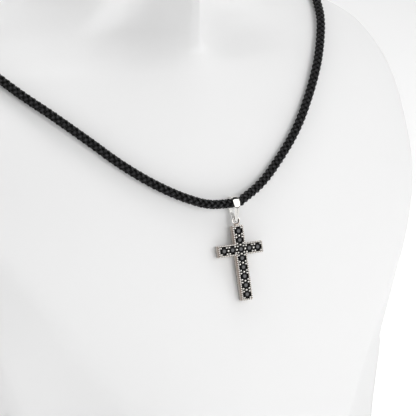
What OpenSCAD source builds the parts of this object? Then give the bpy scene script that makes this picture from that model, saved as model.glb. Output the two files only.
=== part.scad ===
// A cross pendant with twelve black stones, hung by a tapered bail from a
// round braided cord, shown on a white neck bust. The bust stands on z = 0 and
// faces -Y. +X is the wearer's left.

/* [Cross] */
// Distance between neighbouring stone centres
stone_pitch = 2.65; // [2.5:0.05:2.8]
// Stones in the upright, the crossing one included
upright_stones = 8; // [6:1:9]
// Stones on each side of the crossing in the crossbar
arm_stones = 2; // [1:1:3]
// Stones in the upright above the crossing
stones_above = 2; // [1:1:3]
// Width of the upright and of the crossbar
bar_w = 3.4; // [3.2:0.1:3.8]
// Depth of the cross from face to back
bar_depth = 2.4; // [2.2:0.1:2.8]
// Metal beyond the centre of the last stone of each arm
arm_end = 1.66; // [1.5:0.02:1.8]
// Width of the raised rim round the face
rim_w = 0.36; // [0.3:0.02:0.4]
// Depth of the recess inside the rim
recess = 0.2; // [0.1:0.05:0.3]

/* [Stones] */
// Diameter of a stone at its girdle
stone_d = 2.05; // [1.9:0.05:2.1]
// Height of the crown above the girdle
crown_h = 0.38; // [0.3:0.02:0.45]
// Depth of the pavilion under the girdle
pavilion_h = 0.85; // [0.7:0.05:1]
// Width of the table as a share of the girdle
table_share = 0.5; // [0.5:0.02:0.65]

/* [Ring and bail] */
// Outer diameter of the ring on top of the cross
ring_d = 2.7; // [2.6:0.05:2.8]
// Wire thickness of that ring
ring_wire = 0.62; // [0.56:0.02:0.64]
// Thickness of the bail's strip
strip_t = 0.38; // [0.34:0.02:0.4]
// Half width of the bail at the top of its loop
bail_half_top = 1.05; // [0.95:0.05:1.15]
// Half width of the bail at its lower end, inside the ring
bail_half_foot = 0.32; // [0.26:0.02:0.32]
// Inner radius of the bail's loop round the cord
loop_r = 2.1; // [2.1:0.05:2.2]
// How far the bail's pointed tip runs on below its front leaf
tip_len = 1; // [0.8:0.05:1.05]

/* [Cord] */
// Diameter of the braided cord
cord_d = 2.5; // [2.3:0.1:2.5]
// Length of the barrel clasp at the back
clasp_len = 13; // [11:0.5:14]
// Diameter of the barrel clasp
clasp_d = 3.8; // [3.4:0.1:4]

/* [How the pendant hangs] */
// Turn of the pendant about the vertical
pendant_turn = -7; // [-8:0.5:-5]
// How far the cross leans back from upright
cross_lean = 20.4; // [20:0.1:20.8]

/* [Neck bust] */
// Width of the bust across the shoulders
bust_w = 162; // [162:0.5:164]

/* [Hidden] */
stone_count = upright_stones + 2 * arm_stones;
stone_names = [for (i = [1:stone_count]) str("stone_", i < 10 ? "0" : "", i)];
$fn = 48;

// The pendant turns about the cord's centre line where it runs through the bail
cord_axis = [0, -22, 108];
// Centres of the bail's loop, heel and lower bend, seen along the cord. The heel
// carries the back leaf down along the bust.
loop_centre = [0.35, -0.6];
heel_centre = [0.45, -2.6];
bend_centre = [-0.8, -4.2];
heel_r = 1.2;
bail_half_end = 0.16;
bail_turn = 4;
bend_clear = 0.17;
bend_r = ring_wire / 2 + bend_clear;

// The ring's top wire lies in the bend. The ring is soldered upright
// between the cross's face and its middle.
wire_lift = 0.06;
ring_axis = bend_centre + [0, wire_lift];
ring_r = (ring_d - ring_wire) / 2;
ring_above_cross = 1.42;
ring_forward = 0.4;
saddle = [1.3, 0.9, 0.5];

face_y = -bar_depth / 2;
floor_y = face_y + recess;
cross_top = -ring_r - ring_above_cross;
first_stone = cross_top - arm_end;
crossing = first_stone - stones_above * stone_pitch;
upright_len = (upright_stones - 1) * stone_pitch + 2 * arm_end;
crossbar_len = 2 * arm_stones * stone_pitch + 2 * arm_end;
seat_clear = 0.035;
seat_depth = 1.15;
prong_r = 0.24;
prong_at = [0.345, 0.35] * stone_pitch;
bead_r = 0.26;

// Lengths by which cuts run past a face and soldered pieces sink into one
overcut = 1;
sink = 0.1;

// Stone places as [x, z] in the cross's own frame, the upright from the top
// down and then the crossbar from left to right
stones = concat(
    [for (i = [0:upright_stones - 1]) [0, first_stone - i * stone_pitch]],
    [for (i = [-arm_stones:arm_stones]) if (i != 0) [i * stone_pitch, crossing]]
);
bead_places = concat(
    [for (i = [0:upright_stones - 2]) [0, first_stone - (i + 0.5) * stone_pitch]],
    [for (i = [-arm_stones:arm_stones - 1]) [(i + 0.5) * stone_pitch, crossing]]
);

// Horizontal sections of the bust. The front runs from front_y in the middle
// to the edge of the chest, bowed to the power given and drawn in beside the
// neck's ridge, then the side wall goes back to the side and the back closes
// it. crease 1 is a hollow side wall behind a sharp edge, and crease 0 runs
// smoothly round.
// z, front_y, bow, edge_x, edge_y, crease, side_x, side_y, back_y, drawn_in
sections = [
    [  0, -63.0, 2.0,  6.0, -62.5, 0.9, 53.0, -14, 56, 0.0],
    [ 12, -59.0, 2.0, 12.0, -56.0, 0.9, 57.0, -10, 58, 0.0],
    [ 28, -52.2, 2.0, 21.5, -46.5, 0.9, 61.5,  -5, 60, 0.0],
    [ 49, -43.2, 2.0, 37.0, -34.5, 0.9, 66.0,  -3, 61, 0.0],
    [ 63, -37.0, 2.0, 47.5, -27.5, 0.8, 69.5,  -3, 62, 0.0],
    [ 77, -31.0, 2.0, 57.0, -21.8, 0.6, 72.5,  -2, 63, 0.0],
    [ 88, -26.2, 2.0, 63.0, -16.2, 0.4, 75.5,   1, 63, 0.0],
    [ 98, -22.2, 2.0, 68.0, -10.0, 0.2, 78.5,   6, 63, 0.0],
    [110, -17.5, 2.0, 71.0,  -2.0, 0.0, 80.5,  12, 63, 0.0],
    [121, -12.0, 2.0, 70.0,   3.0, 0.0, 81.0,  18, 62, 0.0],
    [130,  -7.0, 2.0, 69.0,   8.0, 0.0, 79.5,  22, 61, 0.0],
    [137,  -3.6, 1.9, 67.0,  13.0, 0.0, 77.0,  26, 60, 0.4],
    [143,  -1.8, 1.8, 63.0,  18.0, 0.0, 73.0,  29, 58, 2.0],
    [148,  -1.6, 1.5, 53.0,  19.5, 0.0, 66.0,  31, 56, 6.2],
    [155,  -1.8, 1.2, 37.0,  20.0, 0.0, 52.0,  30, 54, 9.0],
    [165,  -2.0, 1.1, 24.0,  17.0, 0.0, 37.0,  31, 52, 7.5],
    [178,  -2.0, 1.1, 20.0,  15.0, 0.0, 31.5,  29, 51, 6.0],
    [200,  -2.0, 1.1, 20.0,  15.0, 0.0, 31.0,  29, 51, 6.0],
    [203,  -0.2, 1.1, 19.0,  16.0, 0.0, 29.0,  29, 49, 6.0]
];
bust_scale = bust_w / 162;
steps_up = 3;
steps_front = 9;
steps_side = 7;
steps_back = 9;
back_power = 3.2;

// Route of the cord's centre line, from the clasp's right end up the back, over
// the left shoulder, down the chest, straight through the bail and round the
// other side. It lies about 0.4 mm clear of the bust.
through_bail = 1.3 * [cos(pendant_turn), sin(pendant_turn), 0];
cord_end = clasp_len / 2 + 0.05;
route = [
    [cord_end, 65.5, 90], [17, 65, 95], [27.5, 64.5, 106], [36, 63, 118],
    [42.5, 61, 130], [48, 58, 142], [53.5, 49.5, 152], [56.5, 38.5, 154.5],
    [57, 28, 154], [55, 21, 150.5], [52, 14.5, 147.5], [48.5, 9, 143.5],
    [43, 2, 138], [36, -4.5, 130.5], [28, -10.5, 123], [19.5, -15, 116.5],
    [10.5, -19, 111.1], [8, -19.75, 109.95], [5.9, -20.5, 109.3], [3.7, -21.4, 108.7],
    cord_axis + through_bail, cord_axis - through_bail,
    [-8, -20.5, 108.5], [-13.5, -19, 110.5], [-22, -15.5, 115], [-30.5, -11, 121],
    [-39, -5, 128.5], [-47, 1.5, 135.5], [-54, 9.5, 141.5], [-59, 18, 147],
    [-60.5, 26, 151.5], [-59.5, 34.5, 153.5], [-56.5, 45, 153], [-52, 54.5, 147],
    [-47, 59.5, 137], [-41.5, 61.5, 126.5], [-35, 63, 115.5], [-27, 64.5, 104.5],
    [-17, 65, 95], [-cord_end, 65.5, 90]
];
clasp_centre = [0, 65.5, 90];
bust_heart = [0, 15, 60];
cord_sides = 8;
rings_per_step = 2;

function blend(a, b, t) = a + (b - a) * t;

// Smooth curve through the rows of a table, without overshoot
function row(i) = sections[max(0, min(len(sections) - 1, i))];
function rise(i, c) = (row(i + 1)[c] - row(i)[c]) / max(0.001, row(i + 1)[0] - row(i)[0]);
function row_slope(i, c) =
    i == 0 ? rise(0, c) :
    i == len(sections) - 1 ? rise(i - 1, c) :
    rise(i - 1, c) * rise(i, c) <= 0 ? 0 :
    2 / (1 / rise(i - 1, c) + 1 / rise(i, c));
function hermite(a, ma, b, mb, h, t) =
    (2 * t * t * t - 3 * t * t + 1) * a + (t * t * t - 2 * t * t + t) * h * ma
    + (3 * t * t - 2 * t * t * t) * b + (t * t * t - t * t) * h * mb;
function column(i, c, t) =
    hermite(row(i)[c], row_slope(i, c), row(i + 1)[c], row_slope(i + 1, c), row(i + 1)[0] - row(i)[0], t);

function bezier(a, b, c, t) = a * pow(1 - t, 2) + b * 2 * t * (1 - t) + c * pow(t, 2);

// Hollow beside the neck's ridge, deepest between the ridge and the edge
function hollow_at(t) = 4.2 * t * pow(1 - t * t, 3);

// Right half of one section, from the middle of the front to the middle of the back
function half_section(front_y, bow, edge, crease, side, back_y, drawn_in) =
    let (
        edge_slope = bow * (edge.y - front_y) / edge.x,
        smooth = [side.x, min(edge.y + (side.x - edge.x) * edge_slope, blend(edge.y, side.y, 0.85))],
        hollow = [blend(edge.x, side.x, 0.35), blend(edge.y, side.y, 0.65)],
        pull = blend(smooth, hollow, crease)
    )
    concat(
        [for (i = [0:steps_front]) let (t = i / steps_front)
            [edge.x * t, front_y + (edge.y - front_y) * pow(t, bow) + drawn_in * hollow_at(t)]],
        [for (i = [1:steps_side]) bezier(edge, pull, side, i / steps_side)],
        [for (i = [1:steps_back]) let (a = 90 * i / steps_back)
            [side.x * pow(max(0, cos(a)), 2 / back_power),
             side.y + (back_y - side.y) * pow(sin(a), 2 / back_power)]]
    );

function bust_ring(i, t) =
    let (
        v = [for (c = [0:9]) column(i, c, t)],
        half = half_section(v[1], v[2], [v[3], v[4]], v[5], [v[6], v[7]], v[8], v[9]),
        last = len(half) - 1
    )
    concat(
        [for (p = half) [p.x * bust_scale, p.y, v[0]]],
        [for (k = [last - 1:-1:1]) [-half[k].x * bust_scale, half[k].y, v[0]]]
    );

// Closed skin over rings of equal length, with flat ends
module skin(rings) {
    n = len(rings[0]);
    last = len(rings) - 1;
    points = [for (ring = rings) for (p = ring) p];
    ends = [[for (i = [0:n - 1]) i], [for (i = [n - 1:-1:0]) last * n + i]];
    sides = [
        for (j = [0:last - 1]) for (i = [0:n - 1])
            let (a = j * n + i, b = j * n + (i + 1) % n)
                each [[a, a + n, b + n], [a, b + n, b]]
    ];
    polyhedron(points, concat(ends, sides), convexity = 10);
}

module neck_bust() {
    last = len(sections) - 2;
    color("white") skin(concat(
        [for (i = [0:last]) for (k = [0:steps_up - 1]) bust_ring(i, k / steps_up)],
        [bust_ring(last, 1)]
    ));
}

// Direction of the cord at point i of its route. It leaves and meets the clasp
// squarely.
function step_len(i) = norm(route[i + 1] - route[i]);
function heading(i) =
    i == 0 || i == len(route) - 1 ? [1, 0, 0] :
    let (a = step_len(i - 1), b = step_len(i))
        ((route[i] - route[i - 1]) / a * b + (route[i + 1] - route[i]) / b * a) / (a + b);
function on_route(i, t) = hermite(route[i], heading(i), route[i + 1], heading(i + 1), step_len(i), t);

function cord_ring(centre, ahead) =
    let (
        forward = ahead / norm(ahead),
        across = cross(forward, centre - bust_heart),
        side = across / norm(across),
        out = cross(forward, side)
    )
    [for (k = [0:cord_sides - 1]) let (a = 360 * (k + 0.5) / cord_sides)
        centre + cord_d / 2 * (side * cos(a) + out * sin(a))];

module cord() {
    last = len(route) - 2;
    nudge = 0.02;
    color([0.07, 0.07, 0.07]) skin(concat(
        [for (i = [0:last]) for (k = [0:rings_per_step - 1])
            let (t = k / rings_per_step)
                cord_ring(on_route(i, t), on_route(i, t + nudge) - on_route(i, t))],
        [cord_ring(route[last + 1], heading(last + 1))]
    ));
}

// Plain barrel clasp with a collar at each end
module clasp() {
    r = clasp_d / 2;
    collar = 2.2;
    neck = 0.3;
    color("silver") translate(clasp_centre) rotate([0, 90, 0]) {
        cylinder(r = r - neck, h = clasp_len - collar, center = true);
        for (end = [-1, 1]) translate([0, 0, end * (clasp_len - collar) / 2])
            cylinder(r = r, h = collar, center = true);
    }
}

function arc(centre, r, from, to) =
    let (steps = ceil((to - from) / 8))
    [for (i = [0:steps]) let (a = from + (to - from) * i / steps) centre + r * [cos(a), sin(a)]];

// Direction in which a line that touches two circles faces
function facing(a, r_a, b, r_b, side) =
    atan2(b.y - a.y, b.x - a.x) + side * acos((r_a - r_b) / norm(b - a));

// Outline of a strip folded round the loop, the bend and the heel, seen along the cord
module teardrop(grow) {
    loop = loop_r + grow;
    heel = heel_r + grow;
    bend = bend_r + grow;
    front = facing(loop_centre, loop, bend_centre, bend, -1);
    upper = facing(loop_centre, loop, heel_centre, heel, 1);
    lower = facing(heel_centre, heel, bend_centre, bend, 1);
    polygon(concat(
        arc(loop_centre, loop, upper, front + 360),
        arc(bend_centre, bend, front, lower),
        arc(heel_centre, heel, lower, upper)
    ));
}

module at_cord() {
    translate(cord_axis) rotate([0, 0, pendant_turn]) children();
}

module turned(angle, about) {
    translate(about) rotate([0, 0, angle]) translate(-about) children();
}

// Tip of the strip, seen along the cord: the front leaf run on past the bend
module tip() {
    out = facing(loop_centre, loop_r, bend_centre, bend_r, -1);
    start = bend_centre + (bend_r + strip_t / 2) * [cos(out), sin(out)];
    for (end = [0, tip_len]) translate(start + end * [-sin(out), cos(out)]) circle(strip_t / 2);
}

module bail() {
    top = loop_centre.y + loop_r + strip_t;
    foot = bend_centre.y - bend_r - strip_t;
    end = foot - 0.45;
    deep = 4 * loop_r;
    color("gainsboro") at_cord() turned(bail_turn, [0, bend_centre.x, 0]) intersection() {
        rotate([90, 0, 90]) linear_extrude(2 * bail_half_top, center = true) {
            difference() {
                teardrop(strip_t);
                teardrop(0);
            }
            hull() tip();
        }
        rotate([90, 0, 0]) linear_extrude(deep, center = true) polygon([
            [-bail_half_end, end], [bail_half_end, end],
            [bail_half_foot, foot], [bail_half_top, top], [bail_half_top, top + overcut],
            [-bail_half_top, top + overcut], [-bail_half_top, top], [-bail_half_foot, foot]
        ]);
    }
}

// The cross's own frame: the ring's top wire is its origin, the face looks to -Y
module at_ring() {
    at_cord() translate([0, ring_axis.x, ring_axis.y]) rotate([-cross_lean, 0, 0]) children();
}

// Both bars of the cross between two depths, drawn in by an inset
module bars(inset, from_y, to_y) {
    deep = to_y - from_y;
    translate([-bar_w / 2 + inset, from_y, cross_top - upright_len + inset])
        cube([bar_w - 2 * inset, deep, upright_len - 2 * inset]);
    translate([-crossbar_len / 2 + inset, from_y, crossing - bar_w / 2 + inset])
        cube([crossbar_len - 2 * inset, deep, bar_w - 2 * inset]);
}

// Round post that rises from the floor of the face and ends in a dome
module dome(x, z, r) {
    root = 0.3;
    translate([x, face_y, z]) {
        rotate([-90, 0, 0]) cylinder(r = r, h = recess + root, $fn = 20);
        sphere(r, $fn = 20);
    }
}

module cross_ring() {
    translate([0, 0, -ring_r]) rotate([90, 0, 0])
        rotate_extrude() translate([ring_r, 0]) circle(ring_wire / 2);
    translate([0, ring_forward / 2, cross_top + saddle.z / 2 - sink]) cube(saddle, center = true);
}

module cross() {
    color([0.62, 0.6, 0.57]) at_ring() {
        cross_ring();
        translate([0, ring_forward, 0]) {
            difference() {
                bars(0, face_y, -face_y);
                bars(rim_w, face_y - overcut, floor_y);
                for (p = stones) translate([p.x, floor_y, p.y]) rotate([-90, 0, 0])
                    cylinder(d = stone_d + 2 * seat_clear, h = seat_depth);
            }
            for (p = stones) for (side = [-1, 1]) for (end = [-1, 1])
                dome(p.x + side * prong_at.x, p.y + end * prong_at.y, prong_r);
            for (p = bead_places) dome(p.x, p.y, bead_r);
        }
    }
}

// One round stone: an eight-sided table, a girdle and a pointed pavilion
module stone(place) {
    girdle = 0.12;
    tip = 0.1;
    facets = 16;
    color([0.05, 0.05, 0.06]) at_ring() translate([place.x, ring_forward + floor_y, place.y])
        rotate([90, 0, 0]) {
            hull() {
                linear_extrude(girdle) circle(d = stone_d, $fn = facets);
                linear_extrude(crown_h) rotate(180 / 8) circle(d = stone_d * table_share, $fn = 8);
            }
            hull() {
                translate([0, 0, -pavilion_h]) cylinder(d = tip, h = tip, $fn = 8);
                linear_extrude(girdle) circle(d = stone_d, $fn = facets);
            }
        }
}

neck_bust();
cord();
clasp();
bail();
cross();
for (i = [0:stone_count - 1]) stone(stones[i]);
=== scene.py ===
# Cross pendant on a braided cord, shown on a white neck bust.
# Metres, in the frame of the solids: the bust stands on z = 0 and faces -Y.
from math import acos, atan2, cos, pi, radians, sin
import bpy
import bmesh
from mathutils import Matrix, Vector


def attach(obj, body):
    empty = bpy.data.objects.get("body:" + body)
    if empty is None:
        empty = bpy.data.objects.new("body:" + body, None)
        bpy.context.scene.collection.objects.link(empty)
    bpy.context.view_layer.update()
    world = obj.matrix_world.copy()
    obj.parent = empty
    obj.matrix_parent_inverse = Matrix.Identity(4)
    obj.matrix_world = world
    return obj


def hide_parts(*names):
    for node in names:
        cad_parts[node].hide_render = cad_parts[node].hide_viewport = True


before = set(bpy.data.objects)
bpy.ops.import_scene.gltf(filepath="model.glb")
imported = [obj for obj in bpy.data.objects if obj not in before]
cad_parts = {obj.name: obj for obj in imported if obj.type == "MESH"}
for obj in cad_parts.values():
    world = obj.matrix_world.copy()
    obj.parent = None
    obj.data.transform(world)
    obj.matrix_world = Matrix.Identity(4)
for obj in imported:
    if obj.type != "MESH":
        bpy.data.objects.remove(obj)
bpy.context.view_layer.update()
mm = 0.001
merge = 0.001  # millimetres: points nearer than this are one
print("solids loaded")


# Camera

camera = {
    "azimuth": -30,
    "elevation": 18.7,
    "distance": 800 * mm,
    "aimPoint": (0, -22 * mm, 108 * mm),  # the cord where it passes through the bail
    "aimPixel": (234.3, 202.8),           # where the picture shows that point
    "pictureSize": 416,
    "pixelSize": 0.29057 * mm,            # at the pendant
    "filmWidth": 36,
    "sees": (0.01, 20),                   # from and to, metres
}


def towards(azimuth, elevation):
    # The way from the object to a place round it: azimuth 0 is in front
    a, e = radians(azimuth), radians(elevation)
    return Vector((sin(a) * cos(e), -cos(a) * cos(e), sin(e)))


def makeCamera(c):
    back = towards(c["azimuth"], c["elevation"])
    right = Vector((cos(radians(c["azimuth"])), sin(radians(c["azimuth"])), 0))
    up = back.cross(right)
    half = c["pictureSize"] / 2
    offX = (half - c["aimPixel"][0]) * c["pixelSize"]
    offY = (half - c["aimPixel"][1]) * c["pixelSize"]
    place = Vector(c["aimPoint"]) + back * c["distance"] + right * offX - up * offY
    data = bpy.data.cameras.new("camera")
    data.sensor_width = c["filmWidth"]
    data.lens = c["filmWidth"] * c["distance"] / (c["pixelSize"] * c["pictureSize"])
    data.clip_start, data.clip_end = c["sees"]
    obj = bpy.data.objects.new("camera", data)
    turn = Matrix((right, up, back)).transposed()
    obj.matrix_world = Matrix.Translation(place) @ turn.to_4x4()
    bpy.context.scene.collection.objects.link(obj)
    bpy.context.scene.camera = obj


makeCamera(camera)
print("camera placed")


# Helpers for meshes and materials

def linear(hexColour):
    parts = [int(hexColour[i:i + 2], 16) / 255 for i in (1, 3, 5)]
    return [c / 12.92 if c <= 0.04045 else ((c + 0.055) / 1.055) ** 2.4 for c in parts] + [1]


def newMaterial(name):
    made = bpy.data.materials.new(name)
    made.use_nodes = True
    return made, made.node_tree.nodes["Principled BSDF"]


def setSockets(owner, node, inputs):
    # A socket gets a link from another node, or else its own value
    for socket, value in inputs.items():
        if isinstance(value, bpy.types.NodeSocket):
            owner.node_tree.links.new(value, node.inputs[socket])
        else:
            node.inputs[socket].default_value = value


def addNode(owner, kind, inputs, **settings):
    node = owner.node_tree.nodes.new(kind)
    for name, value in settings.items():
        setattr(node, name, value)
    setSockets(owner, node, inputs)
    return node


def setRamp(node, *stops):
    elements = node.color_ramp.elements
    while len(elements) < len(stops):
        elements.new(1)
    for element, (place, colour) in zip(elements, stops):
        element.position = place
        element.color = colour


def finishMesh(name, bm, material, sharpAngle=180):
    mesh = bpy.data.meshes.new(name)
    bm.to_mesh(mesh)
    bm.free()
    mesh.shade_smooth()
    if sharpAngle < 180:
        mesh.set_sharp_from_angle(angle=radians(sharpAngle))
    obj = bpy.data.objects.new(name, mesh)
    mesh.materials.append(material)
    bpy.context.scene.collection.objects.link(obj)
    return obj


def applyModifiers(obj):
    graph = bpy.context.evaluated_depsgraph_get()
    graph.update()
    baked = bpy.data.meshes.new_from_object(obj.evaluated_get(graph), depsgraph=graph)
    obj.modifiers.clear()
    obj.data = baked


# Neck bust: hollow form covered with white leatherette

bust = {
    "colour": "#E8E8E8",
    "roughness": 0.62,
    "gloss": 0.18,
    "grain": 0.9 * mm,     # width of a pebble of the grain
    "grainHeight": 0.02 * mm,
    "grainStrength": 0.35,
    "grainRounding": 0.6,
    "levels": 1,
    "joinBelow": 60,       # degrees between two triangles that become one face
    "creaseAbove": 55,     # degrees: the base's and the neck's rims stay crisp
    "crease": 0.8,
}


def leatherette(b):
    # Embossed with a fine grain, so it is matt and light spreads softly over it
    made, shader = newMaterial("whiteLeatherette")
    place = addNode(made, "ShaderNodeTexCoord", {})
    pebbles = addNode(
        made, "ShaderNodeTexVoronoi",
        {"Vector": place.outputs["Object"], "Scale": 1 / b["grain"],
         "Smoothness": b["grainRounding"]},
        feature="SMOOTH_F1",
    )
    relief = addNode(
        made, "ShaderNodeBump",
        {"Height": pebbles.outputs["Distance"], "Strength": b["grainStrength"],
         "Distance": b["grainHeight"]},
        invert=True,
    )
    setSockets(made, shader, {
        "Base Color": linear(b["colour"]),
        "Roughness": b["roughness"],
        "Specular IOR Level": b["gloss"],
        "Normal": relief.outputs["Normal"],
    })
    return made


def dressBust(b):
    bm = bmesh.new()
    bm.from_mesh(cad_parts["neck_bust"].data)
    bmesh.ops.remove_doubles(bm, verts=bm.verts, dist=merge * mm)
    # the flat base and top become one face each, and most other triangles pair up
    flat = [e for e in bm.edges if all(abs(f.normal.z) > 0.9999 for f in e.link_faces)]
    bmesh.ops.dissolve_edges(bm, edges=flat, use_verts=False)
    bmesh.ops.join_triangles(
        bm, faces=[f for f in bm.faces if len(f.verts) == 3],
        angle_face_threshold=radians(b["joinBelow"]), angle_shape_threshold=pi,
    )
    crease = bm.edges.layers.float.new("crease_edge")
    for edge in bm.edges:
        if edge.calc_face_angle(0) > radians(b["creaseAbove"]):
            edge[crease] = b["crease"]
    piece = finishMesh("neckBust", bm, leatherette(b))
    smooth = piece.modifiers.new("smooth", "SUBSURF")
    smooth.levels = smooth.render_levels = b["levels"]
    applyModifiers(piece)
    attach(piece, "display")
    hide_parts("neck_bust")


dressBust(bust)
print("neck bust done")


# Cord: round nylon braid, four strands each way

cord = {
    "diameter": 2.5,
    "route": [
        (6.55, 65.5, 90), (17, 65, 95), (27.5, 64.5, 106), (36, 63, 118),
        (42.5, 61, 130), (48, 58, 142), (53.5, 49.5, 152), (56.5, 38.5, 154.5),
        (57, 28, 154), (55, 21, 150.5), (52, 14.5, 147.5), (48.5, 9, 143.5),
        (43, 2, 138), (36, -4.5, 130.5), (28, -10.5, 123), (19.5, -15, 116.5),
        (10.5, -19, 111.1), (8, -19.75, 109.95), (5.9, -20.5, 109.3), (3.7, -21.4, 108.7),
        (1.29, -22.158, 108), (-1.29, -21.842, 108),
        (-8, -20.5, 108.5), (-13.5, -19, 110.5), (-22, -15.5, 115), (-30.5, -11, 121),
        (-39, -5, 128.5), (-47, 1.5, 135.5), (-54, 9.5, 141.5), (-59, 18, 147),
        (-60.5, 26, 151.5), (-59.5, 34.5, 153.5), (-56.5, 45, 153), (-52, 54.5, 147),
        (-47, 59.5, 137), (-41.5, 61.5, 126.5), (-35, 63, 115.5), (-27, 64.5, 104.5),
        (-17, 65, 95), (-6.55, 65.5, 90),
    ],
    "stepsBetween": 12,
    "lead": 7.5,           # one turn of a strand round the cord
    "middle": 0.84,        # radius at which the strands run
    "strandHalfThick": 0.36,
    "strandHalfWide": 0.7,   # along the cord
    "weave": 0.25,         # how far a strand rises over and dips under
    "turn": 22.5,          # degrees, puts the crossings at the sides that the picture outlines
    "stepsPerLead": 24,
    "strandSides": 8,
    "fibre": 0.32,         # thread spacing, drawn coarser than real nylon so that it shows
    "fibreLong": 5,        # how much longer than wide a thread's light and dark parts are
    "fibreDetail": 2,
    "fibreDepth": 0.1,     # of the bump between two threads
    # the ramp's two ends: the yarn's black, deepest between the strands as painted shade, and
    # grey painted sheen on the threads
    "shade": "#020202",
    "lit": "#4A4A4C",
    "litBetween": (0.28, 0.62),
    "roughness": 0.3,
    "gloss": 0.1,
    "sheen": 0.02,
    "endMerge": 0.01,      # where one repeat of the braid meets the next
}


def smoothRoute(points, between):
    # A curve through the points that leaves both ends along X
    route = [Vector(p) for p in points]
    gaps = [(b - a).length for a, b in zip(route, route[1:])]

    def heading(i):
        if i in (0, len(route) - 1):
            return Vector((1, 0, 0))
        a, b = gaps[i - 1], gaps[i]
        return ((route[i] - route[i - 1]) / a * b + (route[i + 1] - route[i]) / b * a) / (a + b)

    line = []
    for i, gap in enumerate(gaps):
        for step in range(between):
            t = step / between
            line.append(
                (2 * t ** 3 - 3 * t ** 2 + 1) * route[i]
                + (t ** 3 - 2 * t ** 2 + t) * gap * heading(i)
                + (3 * t ** 2 - 2 * t ** 3) * route[i + 1]
                + (t ** 3 - t ** 2) * gap * heading(i + 1)
            )
    return line + [route[-1]]


def braidedNylon(c):
    # Black nylon yarn with a low gloss. Its colour holds painted sheen, grey on the threads
    # where a strand stands out, which its attribute says, and painted shade, deep black,
    # between the strands
    made, shader = newMaterial("braidedNylon")
    along = addNode(made, "ShaderNodeUVMap", {}, uv_map="strand")
    threads = addNode(
        made, "ShaderNodeMapping",
        {"Vector": along.outputs["UV"],
         "Scale": (1 / c["fibreLong"] / c["fibre"], 1 / c["fibre"], 1)},
    )
    noise = addNode(
        made, "ShaderNodeTexNoise",
        {"Vector": threads.outputs["Vector"], "Scale": 1, "Detail": c["fibreDetail"]},
    )
    raised = addNode(made, "ShaderNodeAttribute", {}, attribute_name="raised")
    # painted sheen where a thread's noise and the strand's rise are both high, painted shade
    # where the strand dips
    lit = addNode(
        made, "ShaderNodeMath", {0: noise.outputs["Fac"], 1: raised.outputs["Fac"]},
        operation="MULTIPLY",
    )
    shade = addNode(made, "ShaderNodeValToRGB", {"Fac": lit.outputs["Value"]})
    litFrom, litTo = c["litBetween"]
    setRamp(shade, (litFrom, linear(c["shade"])), (litTo, linear(c["lit"])))
    relief = addNode(
        made, "ShaderNodeBump",
        {"Height": noise.outputs["Fac"], "Strength": 1, "Distance": c["fibreDepth"] * mm},
    )
    setSockets(made, shader, {
        "Base Color": shade.outputs["Color"],
        "Roughness": c["roughness"],
        "Specular IOR Level": c["gloss"],
        "Sheen Weight": c["sheen"],
        "Normal": relief.outputs["Normal"],
    })
    return made


def braidRepeat(c, lead):
    # One lead of the straight braid along +X, in millimetres
    bm = bmesh.new()
    bm.loops.layers.uv.new("strand")
    bm.verts.layers.float.new("raised")
    lowest, highest = c["middle"], c["middle"] + c["weave"] + c["strandHalfThick"]
    steps = c["stepsPerLead"]
    for hand in (1, -1):
        strand = bmesh.new()
        strandUv = strand.loops.layers.uv.new("strand")
        raised = strand.verts.layers.float.new("raised")
        ring = bmesh.ops.create_circle(strand, segments=c["strandSides"], radius=1)["verts"]
        bmesh.ops.scale(strand, vec=(c["strandHalfWide"], c["strandHalfThick"], 1), verts=ring)
        bmesh.ops.translate(strand, vec=(0, c["middle"], 0), verts=ring)
        bmesh.ops.spin(
            strand, geom=ring + strand.edges[:], cent=(0, 0, 0), axis=(1, 0, 0),
            dvec=(lead / steps, 0, 0), angle=hand * 2 * pi, steps=steps, use_duplicate=False,
        )
        for v in strand.verts:  # over one strand of the other hand and under the next
            turn = atan2(v.co.z, v.co.y)
            rise = c["weave"] * hand * cos(2 * (turn + hand * 2 * pi * v.co.x / lead))
            reach = v.co.yz.length
            v.co.yz *= (reach + rise) / reach
            v[raised] = (reach + rise - lowest) / (highest - lowest)
        for face in strand.faces:  # the pattern runs along the strand's middle line
            for loop in face.loops:
                x, y, z = loop.vert.co
                turns = x / lead - hand * atan2(z, y) / (2 * pi)
                loop[strandUv].uv = (x, ((turns + 0.5) % 1 - 0.5) * lead)
        if hand > 0:  # the spin leaves this hand's faces pointing inwards
            bmesh.ops.reverse_faces(strand, faces=strand.faces)
        single = bpy.data.meshes.new("strand")
        strand.to_mesh(single)
        strand.free()
        single.transform(Matrix.Rotation(radians(c["turn"]), 4, "X"))
        for _ in range(4):
            single.transform(Matrix.Rotation(pi / 2, 4, "X"))
            bm.from_mesh(single)
        bpy.data.meshes.remove(single)
    bmesh.ops.scale(bm, vec=(mm, mm, mm), verts=bm.verts)
    return bm


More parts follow.
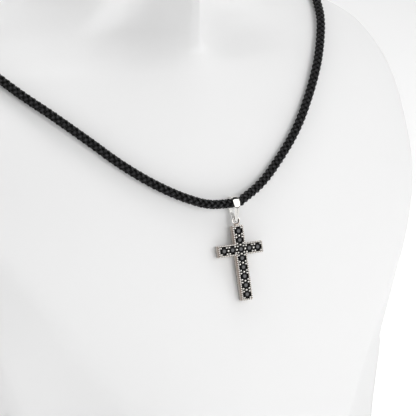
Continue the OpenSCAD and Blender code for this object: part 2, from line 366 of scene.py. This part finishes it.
def makeCord(c):
    line = [p * mm for p in smoothRoute(c["route"], c["stepsBetween"])]
    length = sum((b - a).length for a, b in zip(line, line[1:]))
    turns = round(length / mm / c["lead"])
    lead = length / mm / turns

    curve = bpy.data.curves.new("cordRoute", "CURVE")
    curve.dimensions = "3D"
    curve.twist_mode = "MINIMUM"
    spline = curve.splines.new("POLY")
    spline.points.add(len(line) - 1)
    for point, place in zip(spline.points, line):
        point.co = (*place, 1)
    route = bpy.data.objects.new("cordRoute", curve)
    bpy.context.scene.collection.objects.link(route)

    piece = finishMesh("braidedCord", braidRepeat(c, lead), braidedNylon(c))
    repeat = piece.modifiers.new("repeat", "ARRAY")
    repeat.count = turns
    repeat.use_relative_offset = False
    repeat.use_constant_offset = True
    repeat.constant_offset_displace = (lead * mm, 0, 0)
    repeat.use_merge_vertices = True
    repeat.merge_threshold = c["endMerge"] * mm
    follow = piece.modifiers.new("follow", "CURVE")
    follow.object = route
    follow.deform_axis = "POS_X"
    applyModifiers(piece)
    bpy.data.objects.remove(route)

    bm = bmesh.new()  # the strands' ends, hidden in the clasp, are closed
    bm.from_mesh(piece.data)
    bmesh.ops.holes_fill(bm, edges=[e for e in bm.edges if e.is_boundary], sides=0)
    bm.to_mesh(piece.data)
    bm.free()
    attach(piece, "display")
    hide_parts("cord")
    print(f"cord {length:.4f} m, {turns} turns, {len(piece.data.polygons)} faces")
    return piece, line, length


cordPiece, cordLine, cordLength = makeCord(cord)
print("cord done")


# Silver

silver = {
    "polished": "#EDEBE7",
    "frosted": "#F8F7F4",
    "satin": "#CAC2BA",
    "oxide": "#130D0A",
    "oxideEdge": "#6B4B35",
    "hairlines": (0.9, 0.9, 9),    # how many in a millimetre along each axis
    "hairlineDetail": 1,
    "polish": (0.05, 0.13),        # roughness between the hairlines and on them
    "pits": 6,                     # in a millimetre
    "pitDetail": 2,
    "pitDepth": 0.01,
    "frostMetallic": 0.35,
    "frostRoughness": 0.45,
    "patches": 2.6,                # in a millimetre
    "patchDetail": 3,
    "patchiness": 0.35,
    # how black the metal is where each colour is reached, and where it is roughest
    "blackAt": {"polished": 0.1, "satin": 0.35, "oxideEdge": 0.6, "oxide": 0.85},
    "roughestAt": 0.8,
    "blackRoughness": (0.14, 0.6),
}


def polishedSilver(s):
    # Bright mirror polish with faint hairlines from the buffing wheel
    made, shader = newMaterial("polishedSilver")
    place = addNode(made, "ShaderNodeTexCoord", {})
    stretch = addNode(
        made, "ShaderNodeMapping",
        {"Vector": place.outputs["Object"], "Scale": [n / mm for n in s["hairlines"]]},
    )
    hairlines = addNode(
        made, "ShaderNodeTexNoise",
        {"Vector": stretch.outputs["Vector"], "Scale": 1, "Detail": s["hairlineDetail"]},
    )
    wear = addNode(
        made, "ShaderNodeMapRange",
        {"Value": hairlines.outputs["Fac"], "To Min": s["polish"][0], "To Max": s["polish"][1]},
    )
    setSockets(made, shader, {
        "Base Color": linear(s["polished"]),
        "Metallic": 1,
        "Roughness": wear.outputs["Result"],
    })
    return made


def matteSilver(s):
    # Inside of the bail: frosted by tumbling, so that it scatters light nearly as
    # white paint does
    made, shader = newMaterial("matteSilver")
    place = addNode(made, "ShaderNodeTexCoord", {})
    pits = addNode(
        made, "ShaderNodeTexNoise",
        {"Vector": place.outputs["Object"], "Scale": s["pits"] / mm, "Detail": s["pitDetail"]},
    )
    relief = addNode(
        made, "ShaderNodeBump", {"Height": pits.outputs["Fac"], "Distance": s["pitDepth"] * mm}
    )
    setSockets(made, shader, {
        "Base Color": linear(s["frosted"]),
        "Metallic": s["frostMetallic"],
        "Roughness": s["frostRoughness"],
        "Normal": relief.outputs["Normal"],
    })
    return made


def oxidisedSilver(s):
    # Cast silver, blackened and rubbed back: bright on what stands out and dark in the
    # recesses. The attribute says how much black is left
    made, shader = newMaterial("oxidisedSilver")
    black = addNode(made, "ShaderNodeAttribute", {}, attribute_name="blackening")
    place = addNode(made, "ShaderNodeTexCoord", {})
    patches = addNode(
        made, "ShaderNodeTexNoise",
        {"Vector": place.outputs["Object"], "Scale": s["patches"] / mm,
         "Detail": s["patchDetail"]},
    )
    uneven = addNode(
        made, "ShaderNodeMath", {0: patches.outputs["Fac"], 1: 0.5}, operation="SUBTRACT"
    )
    spread = addNode(
        made, "ShaderNodeMath",
        {0: uneven.outputs["Value"], 1: s["patchiness"], 2: black.outputs["Fac"]},
        operation="MULTIPLY_ADD",
    )
    tone = addNode(made, "ShaderNodeValToRGB", {"Fac": spread.outputs["Value"]})
    setRamp(tone, *((at, linear(s[colour])) for colour, at in s["blackAt"].items()))
    bright, dull = s["blackRoughness"]
    rough = addNode(
        made, "ShaderNodeMapRange",
        {"Value": spread.outputs["Value"], "From Max": s["roughestAt"],
         "To Min": bright, "To Max": dull},
    )
    setSockets(made, shader, {
        "Base Color": tone.outputs["Color"],
        "Metallic": 1,
        "Roughness": rough.outputs["Result"],
    })
    return made


# Where the pendant hangs, from the same sizes as the solids, in millimetres

pendant = {
    "cordPoint": (0, -22, 108),
    "turn": -7,                 # degrees about the vertical
    "lean": 20.4,               # degrees back from upright
    "ringTop": (-0.8, -4.14),   # middle of the ring's top wire, back and up from the cord
    "stoneFloor": -0.6,         # the stones' girdles, back from the ring's middle
}


def pendantFrame():
    hang = Matrix.Translation(pendant["cordPoint"])
    return Matrix.Scale(mm, 4) @ hang @ Matrix.Rotation(radians(pendant["turn"]), 4, "Z")


def crossFrame():
    back, up = pendant["ringTop"]
    lean = Matrix.Rotation(radians(-pendant["lean"]), 4, "X")
    return pendantFrame() @ Matrix.Translation((0, back, up)) @ lean


# Bail: a strip of silver sheet folded round the cord and pinched on the ring

bail = {
    "loop": ((0.35, -0.6), 2.1),   # centre, back and up from the cord, and inner radius
    "bend": ((-0.8, -4.2), 0.48),
    "heel": ((0.45, -2.6), 1.2),
    "turn": 4,                     # degrees about the vertical through the bend
    "thick": 0.34,
    "crown": 0.14,                 # how far the middle of the strip is domed
    "halfTop": 1.05,
    "halfFoot": 0.32,
    "halfEnd": 0.08,
    "tip": 1.12,                   # how far the front leaf runs on past the bend
    "tipLap": 0.4,                 # how far it starts before the bend
    "tipWider": 0.05,              # than the strip there
    "tipSunk": 0.015,
    "tipSteps": 14,
    "stepsRound": 132,
    "stepsAcross": 8,
    "seam": 0.005,                 # points of the closed loop nearer than this are one
    "bevel": 0.06,
    "bevelSteps": 2,
}


def bailLine(b):
    # Arcs of the strip's inner line, each with the straight after it: centre, radius,
    # start, sweep, length of the straight
    circles = [(Vector(centre), radius) for centre, radius in (b["loop"], b["bend"], b["heel"])]
    loop, bend, heel = circles

    def facing(one, other, side):
        apart = other[0] - one[0]
        return atan2(apart.y, apart.x) + side * acos((one[1] - other[1]) / apart.length)

    def straight(one, other):
        return ((other[0] - one[0]).length_squared - (one[1] - other[1]) ** 2) ** 0.5

    front, lower, upper = facing(loop, bend, -1), facing(heel, bend, 1), facing(loop, heel, 1)
    return [
        (*loop, upper, front + 2 * pi - upper, straight(loop, bend)),
        (*bend, front, lower - front, straight(bend, heel)),
        (*heel, lower, upper - lower, straight(heel, loop)),
    ]


def pointOn(line, t):
    # Point and outward direction at share t of the way round
    along = t * sum(radius * sweep + straight for _, radius, _, sweep, straight in line)
    for centre, radius, start, sweep, straight in line:
        a = start + min(along / radius, sweep)
        out = Vector((cos(a), sin(a)))
        past = max(along - radius * sweep, 0)
        if past <= straight:
            return centre + radius * out + past * Vector((-out.y, out.x)), out
        along = past - straight
    return pointOn(line, 0)


def makeBail(b):
    line = bailLine(b)
    top = b["loop"][0][1] + b["loop"][1] + b["thick"]
    foot = b["bend"][0][1] - b["bend"][1] - b["thick"]

    def place(v, point, out, across, half, sunk=0):
        # across goes from -1 at one edge of the strip to 1 at the other
        point = point + out * (b["crown"] * (1 - across * across) - sunk)
        v.co = (across * half, point.x, point.y)

    bm = bmesh.new()
    strip = bmesh.ops.create_grid(
        bm, x_segments=b["stepsRound"], y_segments=b["stepsAcross"], size=0.5
    )["verts"]
    for v in strip:
        point, out = pointOn(line, min(max(v.co.x + 0.5, 0), 1))
        height = (point.y + out.y * b["thick"] - foot) / (top - foot)
        half = b["halfFoot"] + (b["halfTop"] - b["halfFoot"]) * height
        place(v, point, out, 2 * v.co.y, half)
    bmesh.ops.remove_doubles(bm, verts=bm.verts, dist=b["seam"])

    # the pointed tip of the front leaf
    centre, radius, start, _, _ = line[1]
    out = Vector((cos(start), sin(start)))
    tip = bmesh.ops.create_grid(
        bm, x_segments=b["tipSteps"], y_segments=b["stepsAcross"], size=0.5
    )["verts"]
    for v in tip:
        along = (v.co.x + 0.5) * (b["tip"] + b["tipLap"]) - b["tipLap"]
        share = max(along, 0) / b["tip"]
        root = b["halfFoot"] + b["tipWider"]
        half = b["halfEnd"] + (root - b["halfEnd"]) * (1 - share ** 2)
        point = centre + radius * out + along * Vector((-out.y, out.x))
        place(v, point, out, 2 * v.co.y, half, sunk=b["tipSunk"])
    bmesh.ops.recalc_face_normals(bm, faces=bm.faces)
    inward = [f for f in bm.faces if f.verts[0] in tip and f.normal.y > 0]
    bmesh.ops.reverse_faces(bm, faces=inward)
    pivot = Vector((0, b["bend"][0][0], 0))
    turn = Matrix.Rotation(radians(b["turn"]), 4, "Z")
    bm.transform(pendantFrame() @ Matrix.Translation(pivot) @ turn @ Matrix.Translation(-pivot))
    piece = finishMesh("silverBail", bm, polishedSilver(silver))
    piece.data.materials.append(matteSilver(silver))
    wall = piece.modifiers.new("wall", "SOLIDIFY")
    wall.thickness = b["thick"] * mm
    wall.offset = 1
    wall.material_offset = 1
    edge = piece.modifiers.new("edge", "BEVEL")
    edge.width = b["bevel"] * mm
    edge.segments = b["bevelSteps"]
    edge.limit_method = "ANGLE"
    applyModifiers(piece)
    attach(piece, "bail")
    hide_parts("bail")


makeBail(bail)
print("bail done")


# Cross: cast bars with a beaded rim, prongs and beads raised round the stones

crossPiece = {
    "pitch": 2.65,
    "upright": 8,
    "arms": 2,
    "above": 2,
    "barWide": 3.4,
    "barDeep": 2.4,
    "armEnd": 1.66,
    "ringRadius": 1.04,
    "ringWire": 0.31,
    "ringAbove": 1.42,
    "forward": 0.4,          # how far the bars stand behind the ring
    "edge": 0.07,
    "edgeSteps": 2,
    "sharpAbove": 80,        # degrees at an edge that is bevelled
    "smoothBelow": 40,
    "rimWide": 0.36,
    "rimSlope": 0.12,
    "recess": 0.26,
    "milgrain": 0.55,        # spacing of the rim's beads
    "milgrainRadius": 0.25,
    "milgrainOut": 0.02,     # how far the beads stand out past the bars' sides
    "milgrainDetail": 2,
    "prongRadius": 0.32,
    "beadRadius": 0.37,
    "domeTall": 1.3,
    "domeDetail": 3,
    "prongAt": 0.345,        # of the pitch
    "ringSteps": 40,
    "ringSides": 12,
    "solder": (0.75, 0.6, 0.3),
    "solderDetail": 3,
    # how much black is left on each place, from 0 to 1
    "black": {"side": 0.16, "rim": 0.55, "slope": 0.85, "floor": 1, "dome": 0.32,
              "ring": 0.1, "ringInside": 0.7, "ringFoot": 0.2, "solder": 0.3},
    "ringInsideFrom": 0.1,   # in from the middle of the wire
    "ringFootFrom": 1.6,     # down from the top, in radii
    "rubbing": (0.6, 0.8),   # a rim bead is rubbed this much from the front and the side
    "rubbedFrom": 0.62,      # how far a dome faces the rubbing where it is bright
    "rubbedFade": 1.6,
}


def crossSizes(c):
    # Heights of the top, the first stone, the crossing and the foot, and the arms' reach
    top = -c["ringRadius"] - c["ringAbove"]
    first = top - c["armEnd"]
    crossing = first - c["above"] * c["pitch"]
    foot = first - (c["upright"] - 1) * c["pitch"] - c["armEnd"]
    return top, first, crossing, foot, c["arms"] * c["pitch"] + c["armEnd"]


def stonePlaces(c):
    _, first, crossing, _, _ = crossSizes(c)
    upright = [(0, first - i * c["pitch"]) for i in range(c["upright"])]
    return upright + [(i * c["pitch"], crossing) for i in range(-c["arms"], c["arms"] + 1) if i]


def beadPlaces(c):
    _, first, crossing, _, _ = crossSizes(c)
    upright = [(0, first - (i + 0.5) * c["pitch"]) for i in range(c["upright"] - 1)]
    return upright + [((i + 0.5) * c["pitch"], crossing) for i in range(-c["arms"], c["arms"])]


def outline(c, inset):
    # The twelve corners of the face, drawn in by the inset
    top, _, crossing, foot, reach = crossSizes(c)
    half = c["barWide"] / 2 - inset
    right = [(half, top - inset), (half, crossing + half), (reach - inset, crossing + half),
             (reach - inset, crossing - half), (half, crossing - half), (half, foot + inset)]
    return right + [(-x, z) for x, z in reversed(right)]


def faceMost(bm, direction):
    # The outermost of the faces that look that way: the way counts more than the place
    def rank(face):
        return face.normal.dot(direction) * 100 + face.calc_center_median().dot(direction)

    return max(bm.faces, key=rank)


def blacken(faces, black, amount):
    for face in faces:
        for v in face.verts:
            v[black] = amount


def makeBars(bm, c):
    half = c["barWide"] / 2
    top, _, crossing, foot, reach = crossSizes(c)
    bmesh.ops.create_cube(bm, size=1)
    bmesh.ops.scale(bm, vec=(c["barWide"], c["barDeep"], c["barWide"]), verts=bm.verts)
    bmesh.ops.translate(bm, vec=(0, c["forward"], crossing), verts=bm.verts)
    bm.normal_update()
    arms = ((1, 0, reach - half), (-1, 0, reach - half),
            (0, 1, top - crossing - half), (0, -1, crossing - half - foot))
    for x, z, length in arms:
        direction = Vector((x, 0, z))
        end = faceMost(bm, direction)
        grown = bmesh.ops.extrude_discrete_faces(bm, faces=[end])["faces"]
        bmesh.ops.translate(bm, vec=direction * length, verts=grown[0].verts)
        bm.normal_update()
    black = bm.verts.layers.float.new("blackening")
    left = c["black"]
    front = [f for f in bm.faces if f.normal.y < -0.9]
    blacken(bm.faces, black, left["side"])
    blacken(front, black, left["rim"])
    bmesh.ops.inset_region(bm, faces=front, thickness=c["rimWide"], use_even_offset=True)
    blacken(front, black, left["slope"])
    bmesh.ops.inset_region(
        bm, faces=front, thickness=c["rimSlope"], depth=-c["recess"], use_even_offset=True
    )
    blacken(front, black, left["floor"])
    sharp = [e for e in bm.edges if e.calc_face_angle(0) > radians(c["sharpAbove"])]
    bmesh.ops.bevel(
        bm, geom=sharp, affect="EDGES", offset=c["edge"], segments=c["edgeSteps"],
        profile=0.5, material=-1,
    )
    return black


def addDome(bm, black, c, x, z, radius, detail, tall, out=None):
    # Rubbed bright in front, or for a rim bead, whose side faces out, between the two
    y = c["forward"] - c["barDeep"] / 2
    front, side = c["rubbing"]
    place = Matrix.Translation((x, y, z)) @ Matrix.Diagonal((radius, radius * tall, radius, 1))
    made = bmesh.ops.create_icosphere(bm, subdivisions=detail, radius=1, matrix=place)["verts"]
    for v in made:
        normal = (v.co - Vector((x, y, z))) / radius
        bright = -normal.y
        if out:
            bright = -front * normal.y + side * (normal.x * out[0] + normal.z * out[1])
        share = min(max((c["rubbedFrom"] - bright) * c["rubbedFade"], 0), 1)
        v[black] = share * c["black"]["dome"]


def makeRing(bm, black, c):
    wire = bmesh.ops.create_circle(bm, segments=c["ringSides"], radius=c["ringWire"])["verts"]
    bmesh.ops.rotate(bm, cent=(0, 0, 0), matrix=Matrix.Rotation(pi / 2, 3, "Y"), verts=wire)
    edges = list({e for v in wire for e in v.link_edges})
    centre = Vector((0, 0, -c["ringRadius"]))
    before = set(bm.faces)
    bmesh.ops.spin(
        bm, geom=wire + edges, cent=centre, axis=(0, 1, 0), angle=2 * pi,
        steps=c["ringSteps"], use_merge=True,
    )
    ringFaces = [f for f in bm.faces if f not in before]
    bmesh.ops.recalc_face_normals(bm, faces=ringFaces)
    left = c["black"]
    for v in {v for f in ringFaces for v in f.verts}:
        inside = c["ringRadius"] - (v.co - centre).length > c["ringInsideFrom"]
        atFoot = v.co.z < centre.z * c["ringFootFrom"]
        v[black] = left["ring"] + left["ringInside"] * inside + left["ringFoot"] * atFoot

    saddle = Matrix.Translation((0, c["forward"] / 2, crossSizes(c)[0]))
    solder = bmesh.ops.create_icosphere(
        bm, subdivisions=c["solderDetail"], radius=1,
        matrix=saddle @ Matrix.Diagonal((*c["solder"], 1)),
    )["verts"]
    for v in solder:
        v[black] = left["solder"]


def makeCross(c):
    bm = bmesh.new()
    black = makeBars(bm, c)

    corners = outline(c, c["milgrainRadius"] - c["milgrainOut"])
    for (x0, z0), (x1, z1) in zip(corners, corners[1:] + corners[:1]):
        side = Vector((x1 - x0, z1 - z0))
        out = (-side.normalized().y, side.normalized().x)
        count = round(side.length / c["milgrain"])
        for i in range(count):
            x, z = x0 + side.x * i / count, z0 + side.y * i / count
            addDome(bm, black, c, x, z, c["milgrainRadius"], c["milgrainDetail"], 1, out)
    shift = c["prongAt"] * c["pitch"]
    domes = [
        (x + dx * shift, z + dz * shift, c["prongRadius"])
        for x, z in stonePlaces(c)
        for dx, dz in ((1, 1), (1, -1), (-1, 1), (-1, -1))
    ]
    domes += [(x, z, c["beadRadius"]) for x, z in beadPlaces(c)]
    for x, z, radius in domes:
        addDome(bm, black, c, x, z, radius, c["domeDetail"], c["domeTall"])

    makeRing(bm, black, c)
    bm.transform(crossFrame())
    piece = finishMesh("silverCross", bm, oxidisedSilver(silver), sharpAngle=c["smoothBelow"])
    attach(piece, "cross")
    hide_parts("cross")
    print("cross faces", len(piece.data.polygons))


makeCross(crossPiece)
print("cross done")


# Stones: faceted black spinel, polished

spinel = {
    "colour": "#0A0A0B",
    "roughness": 0.04,
    "dullest": 2.5,         # times as rough where the polish is cloudy
    "clouds": 3.5,          # in a millimetre
    "cloudDetail": 2,
    "ior": 1.72,
    "tableSpecular": 0.66,
    "crownPaintedDarkSpecular": 0.09,  # painted dark reflection: the crown reflects less, in place of mirroring the dark setting round it
    # points, radius, height over the girdle's lower edge, turn in steps
    "rings": [(8, 0.51, 0.38, 0.5), (8, 0.8, 0.27, 0), (16, 1.025, 0.12, 0),
              (16, 1.025, 0, 0), (8, 0.05, -0.85, 0)],
}


def blackStone(name, s, specular):
    # Black spinel, cut and polished: glassy facets with small sharp reflections
    made, shader = newMaterial(name)
    place = addNode(made, "ShaderNodeTexCoord", {})
    cloud = addNode(
        made, "ShaderNodeTexNoise",
        {"Vector": place.outputs["Object"], "Scale": s["clouds"] / mm,
         "Detail": s["cloudDetail"]},
    )
    polish = addNode(
        made, "ShaderNodeMapRange",
        {"Value": cloud.outputs["Fac"], "To Min": s["roughness"],
         "To Max": s["roughness"] * s["dullest"]},
    )
    setSockets(made, shader, {
        "Base Color": linear(s["colour"]),
        "Roughness": polish.outputs["Result"],
        "IOR": s["ior"],
        "Specular IOR Level": specular,
    })
    return made


def makeStones(s, c):
    table = blackStone("blackSpinelTable", s, s["tableSpecular"])
    # the crown's copy of the material reflects less: painted dark reflection
    crown = blackStone("blackSpinelCrownPaintedDark", s, s["crownPaintedDarkSpecular"])
    for number, (x, z) in enumerate(stonePlaces(c), 1):
        bm = bmesh.new()
        for count, radius, height, turn in s["rings"]:
            y = pendant["stoneFloor"] - height
            for i in range(count):
                a = 2 * pi * (i + turn) / count
                bm.verts.new((x + radius * cos(a), y, z + radius * sin(a)))
        bmesh.ops.convex_hull(bm, input=bm.verts)
        bmesh.ops.dissolve_limit(bm, angle_limit=radians(1), verts=bm.verts, edges=bm.edges)
        bm.normal_update()
        for face in bm.faces:
            face.material_index = 0 if face.normal.y < -0.99 else 1  # table, crown
        bm.transform(crossFrame())
        piece = finishMesh(f"spinel{number:02}", bm, table, sharpAngle=5)
        piece.data.materials.append(crown)
        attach(piece, "cross")
        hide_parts(f"stone_{number:02}")


makeStones(spinel, crossPiece)
print("stones done")


# Clasp: plain barrel clasp behind the neck, turned on a lathe

clasp = {
    "centre": (0, 65.5, 90),
    "length": 13,
    "radius": 1.9,
    "collar": 2.2,
    "waist": 0.3,          # how much slimmer than the collars it is between them
    "round": 0.25,
    "step": 0.1,
    "seam": 0.12,          # half width and depth of the groove round its middle
    "stepsRound": 48,
    "smoothBelow": 30,
}


def makeClasp(c):
    half, r, waist = c["length"] / 2, c["radius"], c["radius"] - c["waist"]
    inner, bend, seam = half - c["collar"], c["round"], c["seam"]
    # radius and distance from the middle, from one end to the seam, then mirrored
    profile = [(0, half), (r - bend, half), (r, half - bend), (r, inner + bend),
               (r - bend / 2, inner), (waist, inner - c["step"]), (waist, seam),
               (waist - seam, 0)]
    profile += [(radius, -along) for radius, along in reversed(profile[:-1])]
    bm = bmesh.new()
    verts = [bm.verts.new((along, radius, 0)) for radius, along in profile]
    edges = [bm.edges.new(pair) for pair in zip(verts, verts[1:])]
    bmesh.ops.spin(
        bm, geom=verts + edges, cent=(0, 0, 0), axis=(1, 0, 0), angle=2 * pi,
        steps=c["stepsRound"], use_merge=True,
    )
    bmesh.ops.remove_doubles(bm, verts=bm.verts, dist=merge)
    bmesh.ops.recalc_face_normals(bm, faces=bm.faces)
    bm.transform(Matrix.Scale(mm, 4) @ Matrix.Translation(c["centre"]))
    piece = finishMesh("barrelClasp", bm, polishedSilver(silver), sharpAngle=c["smoothBelow"])
    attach(piece, "display")
    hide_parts("clasp")
    return piece


claspPiece = makeClasp(clasp)
print("clasp done")


# Studio: pale floor, softboxes all round, and a few small ones in front and low down

studio = {
    "floorColour": "#F4F4F4",
    "floorRoughness": 0.8,
    "floorGlow": 0.14,     # lit from below, so that the bust's back needs no strong light
    "floorSize": 6,
    # groups of softboxes, each with its azimuth from the front, elevation and watts
    "lights": [
        {"aim": (0, 0, 0.12), "distance": 1.3, "size": 0.7,
         "boxes": [(180, 35, 3.2), (180, 70, 5.0), (-130, 50, 4.4), (-90, 50, 2.9),
                   (90, 70, 4.1), (60, 50, 1.6)]},
        {"aim": (0, -0.03, 0.05), "distance": 0.55, "size": 0.3,
         "boxes": [(10, 25, 1.27), (50, 25, 0.5), (-45, 20, 0.29)]},
        {"aim": (-0.05, -0.03, 0.03), "distance": 0.3, "size": 0.25, "boxes": [(-80, 8, 0.12)]},
        {"aim": (0.06, -0.05, 0.01), "distance": 0.3, "size": 0.25, "boxes": [(102, 5, 0.12)]},
    ],
    # what polished metal mirrors: a white disc in front with a dark edge, a dark
    # ceiling, and pale surroundings elsewhere
    "disc": (22, 30),      # azimuth and elevation of its middle
    "discEdge": (48, 52),  # degrees from its middle
    "discLight": 1.75,
    "darkEdge": (60, 64),
    "ceiling": (32, 38),   # elevation from which it is dark
    "pale": 0.92,
    "dark": 0.03,
    "backdrop": 0.9,       # what a low camera sees past the floor's edge
}


def makeLights(group):
    for azimuth, elevation, watts in group["boxes"]:
        away = towards(azimuth, elevation)
        data = bpy.data.lights.new("softbox", "AREA")
        data.size = group["size"]
        data.energy = watts
        obj = bpy.data.objects.new("softbox", data)
        obj.location = Vector(group["aim"]) + away * group["distance"]
        obj.rotation_euler = away.to_track_quat("Z", "Y").to_euler()
        obj.visible_glossy = False
        bpy.context.scene.collection.objects.link(obj)


def makeSurroundings(s):
    # Gives no diffuse light: the camera sees it pale, and mirrored rays see the disc
    # and the rest
    world = bpy.data.worlds.new("studio")
    world.use_nodes = True
    way = addNode(world, "ShaderNodeTexCoord", {})
    near = addNode(
        world, "ShaderNodeVectorMath",
        {0: way.outputs["Generated"], 1: towards(*s["disc"])}, operation="DOT_PRODUCT",
    )
    height = addNode(world, "ShaderNodeSeparateXYZ", {"Vector": way.outputs["Generated"]})

    # what changes, where the change starts and ends, and the light before and after it
    changes = (
        (near.outputs["Value"], *(cos(radians(a)) for a in reversed(s["discEdge"])),
         0, s["discLight"]),
        (near.outputs["Value"], *(cos(radians(a)) for a in reversed(s["darkEdge"])), 1, 0),
        (height.outputs["Z"], *(sin(radians(a)) for a in s["ceiling"]), s["pale"], 0),
    )
    disc, beyond, low = [
        addNode(
            world, "ShaderNodeMapRange",
            {"Value": value, "From Min": start, "From Max": end,
             "To Min": before, "To Max": after},
            interpolation_type="SMOOTHSTEP",
        ).outputs["Result"]
        for value, start, end, before, after in changes
    ]
    rays = addNode(world, "ShaderNodeLightPath", {})
    pale = addNode(
        world, "ShaderNodeMath", {0: beyond, 1: low, 2: s["dark"]}, operation="MULTIPLY_ADD"
    )
    mirrored = addNode(
        world, "ShaderNodeMath", {0: disc, 1: pale.outputs["Value"]}, operation="MAXIMUM"
    )
    seen = addNode(
        world, "ShaderNodeMath", {0: rays.outputs["Is Camera Ray"], 1: s["backdrop"]},
        operation="MULTIPLY",
    )
    shown = addNode(
        world, "ShaderNodeMath",
        {0: mirrored.outputs["Value"], 1: rays.outputs["Is Glossy Ray"],
         2: seen.outputs["Value"]},
        operation="MULTIPLY_ADD",
    )
    room = world.node_tree.nodes["Background"]
    setSockets(world, room, {"Color": (1, 1, 1, 1), "Strength": shown.outputs["Value"]})
    bpy.context.scene.world = world


def paleFloor(s):
    # Matt painted board
    made, shader = newMaterial("paleFloor")
    setSockets(made, shader, {
        "Base Color": linear(s["floorColour"]),
        "Roughness": s["floorRoughness"],
        "Emission Color": (1, 1, 1, 1),
        "Emission Strength": s["floorGlow"],
    })
    return made


def makeStudio(s):
    bm = bmesh.new()
    bmesh.ops.create_grid(bm, x_segments=1, y_segments=1, size=s["floorSize"] / 2)
    floor = finishMesh("floor", bm, paleFloor(s))
    floor.visible_glossy = False  # mirrored rays pass it and see the surroundings
    for group in s["lights"]:
        makeLights(group)
    makeSurroundings(s)
    bpy.context.scene.view_settings.view_transform = "Standard"


makeStudio(studio)
print("studio done")
